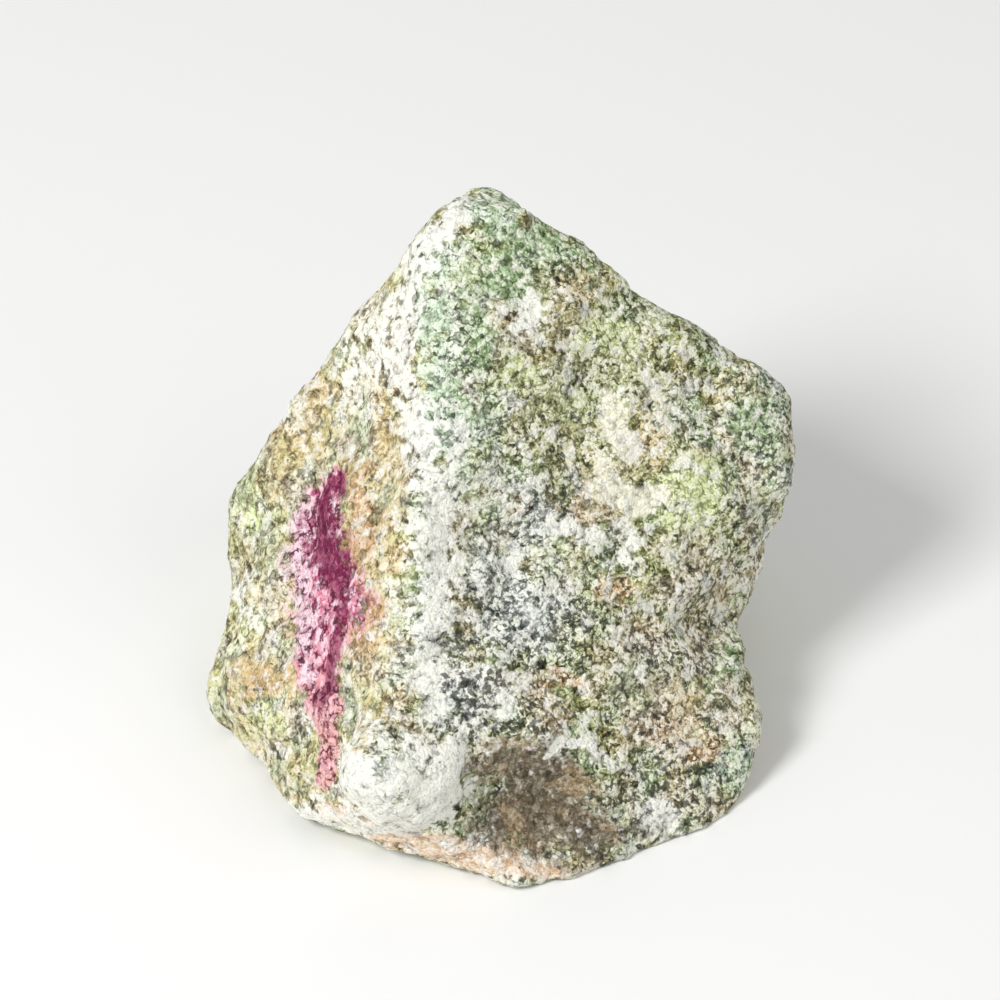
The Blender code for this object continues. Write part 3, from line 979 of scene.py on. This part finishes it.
def hornblende(g, p, whites, red):
    """Dark specks: thicker where the rock is dark, and few where it is white."""
    amount = SPECKS_CLOUD * p.cloud[2] + SPECKS_WHITE * whites + SPECKS_RUBY * red
    amount = amount + SPECKS_PEACH * g.layer("peach").most(0.0)
    for name, change in SPECKS_MARKED.items():
        amount = amount + change * g.layer(name)
    specks = (SPECKS + amount - g.noise(SPECK, ROUGH, p.uneven)).step(*SPECK_FADE)
    dots = (DOT_RADIUS - p.grain_far).step(0.0, DOT_FADE)
    chosen = (p.grain[2] + DOT_AMOUNT * amount).step(*DOT_CHANCE)
    return specks.most(dots * chosen)


def rock_material():
    """All of the rock: its colour, with painted glints and painted shade in its gaps, its gloss and its
    finest relief.
    """
    material = bpy.data.materials.new("ruby_in_zoisite")
    g = Graph(material)
    p = patterns(g)
    base, whites, brown, band = zoisite(g, p)
    tone, painted_glint_tint, red, deep = ruby(g, p)
    base = g.mix(red, base, tone)
    light = crystal_light(g, p, whites, brown, band, red, deep)
    base = lit(g, base, light, brown, red, deep, painted_glint_tint)
    specks = hornblende(g, p, whites, red)
    base = g.mix((SPECK_COVER + SPECK_COVER_RUBY * red) * specks, base, HORNBLENDE)
    g.put(base, g.shader.inputs["Base Color"])
    g.shader.inputs["Specular IOR Level"].default_value = SPECULAR
    roughness = ROUGHNESS + ROUGHNESS_SPECKS * specks + ROUGHNESS_RUBY * red
    g.put(roughness, g.shader.inputs["Roughness"])

    height = BUMP_SUGAR * p.sugar[0] + BUMP_GRAIN * p.grain[0] + BUMP_DUST * p.dust
    height = height + BUMP_GRAIN_EDGE * p.grain_far + BUMP_SUGAR_EDGE * p.sugar_far
    bump = g.tree.nodes.new("ShaderNodeBump")
    bump.inputs["Distance"].default_value = BUMP_HEIGHT
    g.put(height, bump.inputs["Height"])
    g.tree.links.new(bump.outputs[0], g.shader.inputs["Normal"])
    return material


def floor_material():
    material = bpy.data.materials.new("pale_floor")
    material.use_nodes = True
    shader = material.node_tree.nodes["Principled BSDF"]
    shader.inputs["Base Color"].default_value = FLOOR
    shader.inputs["Roughness"].default_value = FLOOR_ROUGHNESS
    return material


# Stage

FLOOR_SIZE = 4.0
STAGE_DROP = 0.02 * MM
LENS = 200.0               # millimetres, on a sensor 36 wide
FILL = 0.78                # the share of the picture's height that the stone takes up
CLIP_START = 0.01
WORLD_STRENGTH = 0.35

# Square soft lights: azimuth, elevation, distance, size and power.
LIGHTS = {
    "key": (-50.0, 45.0, 0.50, 0.16, 1.9),
    "fill": (60.0, 40.0, 0.50, 0.40, 0.5),
    "back": (170.0, 45.0, 0.50, 0.40, 0.35),
}


def add_floor():
    bpy.ops.mesh.primitive_plane_add(size=FLOOR_SIZE, location=(0, 0, -STAGE_DROP))
    floor = bpy.context.object
    floor.name = "floor"
    floor.data.materials.append(floor_material())


def aim(obj, target):
    """Turns a light or a camera to look at a place."""
    obj.rotation_euler = (target - obj.location).to_track_quat("-Z", "Y").to_euler()


def add_light(name, target, azimuth, elevation, distance, size, power):
    """A square soft light, on that side of the stone and that far from it."""
    lamp = bpy.data.lights.new(name, "AREA")
    lamp.shape = "SQUARE"
    lamp.size = size
    lamp.energy = power
    light = bpy.data.objects.new(name, lamp)
    bpy.context.scene.collection.objects.link(light)
    light.location = target + distance * Vector(direction(azimuth, elevation))
    aim(light, target)


def add_lights(target):
    for name, light in LIGHTS.items():
        add_light(name, target, *light)
    world = bpy.data.worlds.new("studio")
    bpy.context.scene.world = world
    world.use_nodes = True
    background = world.node_tree.nodes["Background"]
    background.inputs["Color"].default_value = (1.0, 1.0, 1.0, 1.0)
    background.inputs["Strength"].default_value = WORLD_STRENGTH
    bpy.context.scene.view_settings.view_transform = "Standard"


def add_camera(low, high):
    """Looks at the stone's broad face from above, as in FRONT, so that it fills the picture."""
    lift = math.radians(FRONT[1])
    size = high - low
    tall = size.y * math.sin(lift) + size.z * math.cos(lift)
    data = bpy.data.cameras.new("camera")
    data.lens = LENS
    distance = tall / FILL * LENS / data.sensor_width
    camera = bpy.data.objects.new("camera", data)
    bpy.context.scene.collection.objects.link(camera)
    middle = (low + high) / 2
    camera.location = middle + distance * Vector(direction(*FRONT))
    aim(camera, middle)
    data.clip_start = CLIP_START
    bpy.context.scene.camera = camera


noise.seed_set(NOISE_SEED)
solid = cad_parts["stone"]
stone = fine_skin(solid)
skin = Skin(stone.data)
skin.move(skin.blurred(skin.places, SKIN_WEAR))
skin.store("rim", rim(skin))
mark(skin)
swell(skin)
roughen(skin)
stone.data.shade_smooth()
stone.data.materials.clear()
stone.data.materials.append(rock_material())
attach(stone, "root")
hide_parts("stone")

low, high = [Vector(corner) for corner in CAD_BOUNDS]
add_floor()
add_lights((low + high) / 2)
add_camera(low, high)
